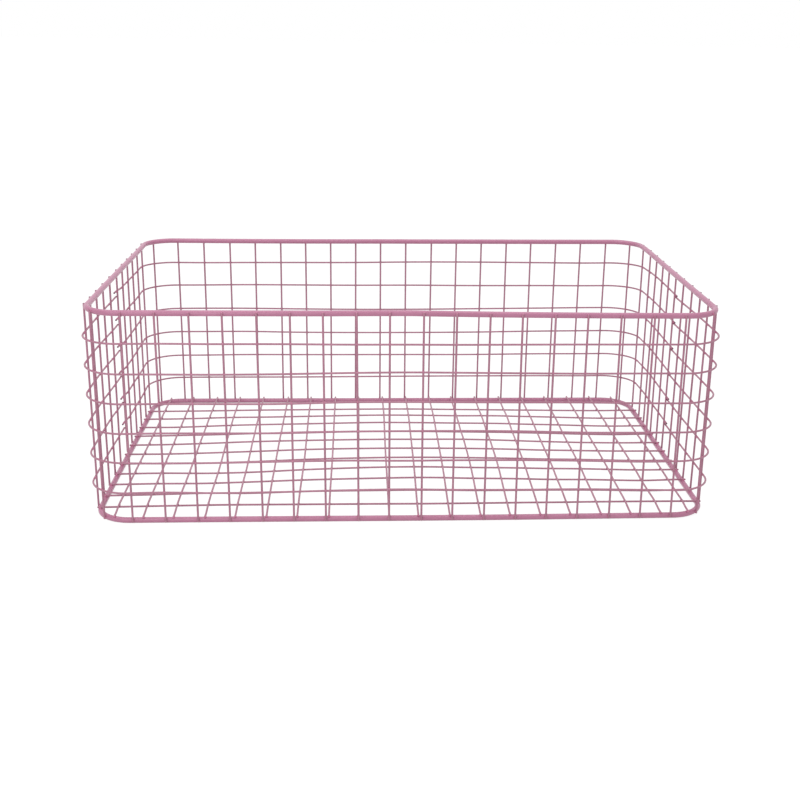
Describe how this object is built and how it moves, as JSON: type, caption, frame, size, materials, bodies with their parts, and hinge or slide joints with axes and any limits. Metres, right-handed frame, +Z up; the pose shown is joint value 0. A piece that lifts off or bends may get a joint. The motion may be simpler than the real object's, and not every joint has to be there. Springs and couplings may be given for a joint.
{
  "type": "wire drawer basket",
  "caption": "Rectangular wire drawer basket with rounded corners: thick rod rims at top and bottom, upright wires, thin hoops round them and a floor of crossed wires, coated satin pink.",
  "frame": {"origin": "centre of the basket's footprint, on the surface that it stands on", "axes": "+X to the right along the long walls, +Y from the front wall to the rear wall, +Z up towards the open top"},
  "size_m": [0.5034, 0.32, 0.1729],
  "materials": {
    "pink_powder_coat": "satin"
  },
  "bodies": {
    "root": {"top_rim": "pink_powder_coat", "bottom_rim": "pink_powder_coat", "rear_hoop_1": "pink_powder_coat", "rear_hoop_2": "pink_powder_coat", "rear_uprights_and_hoop_3": "pink_powder_coat", "rear_hoop_4": "pink_powder_coat", "rear_hoop_5": "pink_powder_coat", "rear_hoop_6": "pink_powder_coat", "front_hoop_1": "pink_powder_coat", "front_hoop_2": "pink_powder_coat", "front_uprights_and_hoop_3": "pink_powder_coat", "front_hoop_4": "pink_powder_coat", "front_hoop_5": "pink_powder_coat", "front_hoop_6": "pink_powder_coat", "left_upright_1": "pink_powder_coat", "left_upright_2": "pink_powder_coat", "left_upright_3": "pink_powder_coat", "left_upright_4": "pink_powder_coat", "left_upright_5": "pink_powder_coat", "left_upright_6": "pink_powder_coat", "left_upright_7": "pink_powder_coat", "left_upright_8": "pink_powder_coat", "left_upright_9": "pink_powder_coat", "left_upright_10": "pink_powder_coat", "left_upright_11": "pink_powder_coat", "right_upright_1": "pink_powder_coat", "right_upright_2": "pink_powder_coat", "right_upright_3": "pink_powder_coat", "right_upright_4": "pink_powder_coat", "right_upright_5": "pink_powder_coat", "right_upright_6": "pink_powder_coat", "right_upright_7": "pink_powder_coat", "right_upright_8": "pink_powder_coat", "right_upright_9": "pink_powder_coat", "right_upright_10": "pink_powder_coat", "right_upright_11": "pink_powder_coat", "front_left_corner_upright": "pink_powder_coat", "front_right_corner_upright": "pink_powder_coat", "rear_left_corner_upright": "pink_powder_coat", "rear_right_corner_upright": "pink_powder_coat", "floor_long_wires_and_cross_wire_10": "pink_powder_coat", "floor_cross_wire_1": "pink_powder_coat", "floor_cross_wire_2": "pink_powder_coat", "floor_cross_wire_3": "pink_powder_coat", "floor_cross_wire_4": "pink_powder_coat", "floor_cross_wire_5": "pink_powder_coat", "floor_cross_wire_6": "pink_powder_coat", "floor_cross_wire_7": "pink_powder_coat", "floor_cross_wire_8": "pink_powder_coat", "floor_cross_wire_9": "pink_powder_coat", "floor_cross_wire_11": "pink_powder_coat", "floor_cross_wire_12": "pink_powder_coat", "floor_cross_wire_13": "pink_powder_coat", "floor_cross_wire_14": "pink_powder_coat", "floor_cross_wire_15": "pink_powder_coat", "floor_cross_wire_16": "pink_powder_coat", "floor_cross_wire_17": "pink_powder_coat", "floor_cross_wire_18": "pink_powder_coat", "floor_cross_wire_19": "pink_powder_coat", "floor_cross_wire_20": "pink_powder_coat"}
  },
  "joints": []
}
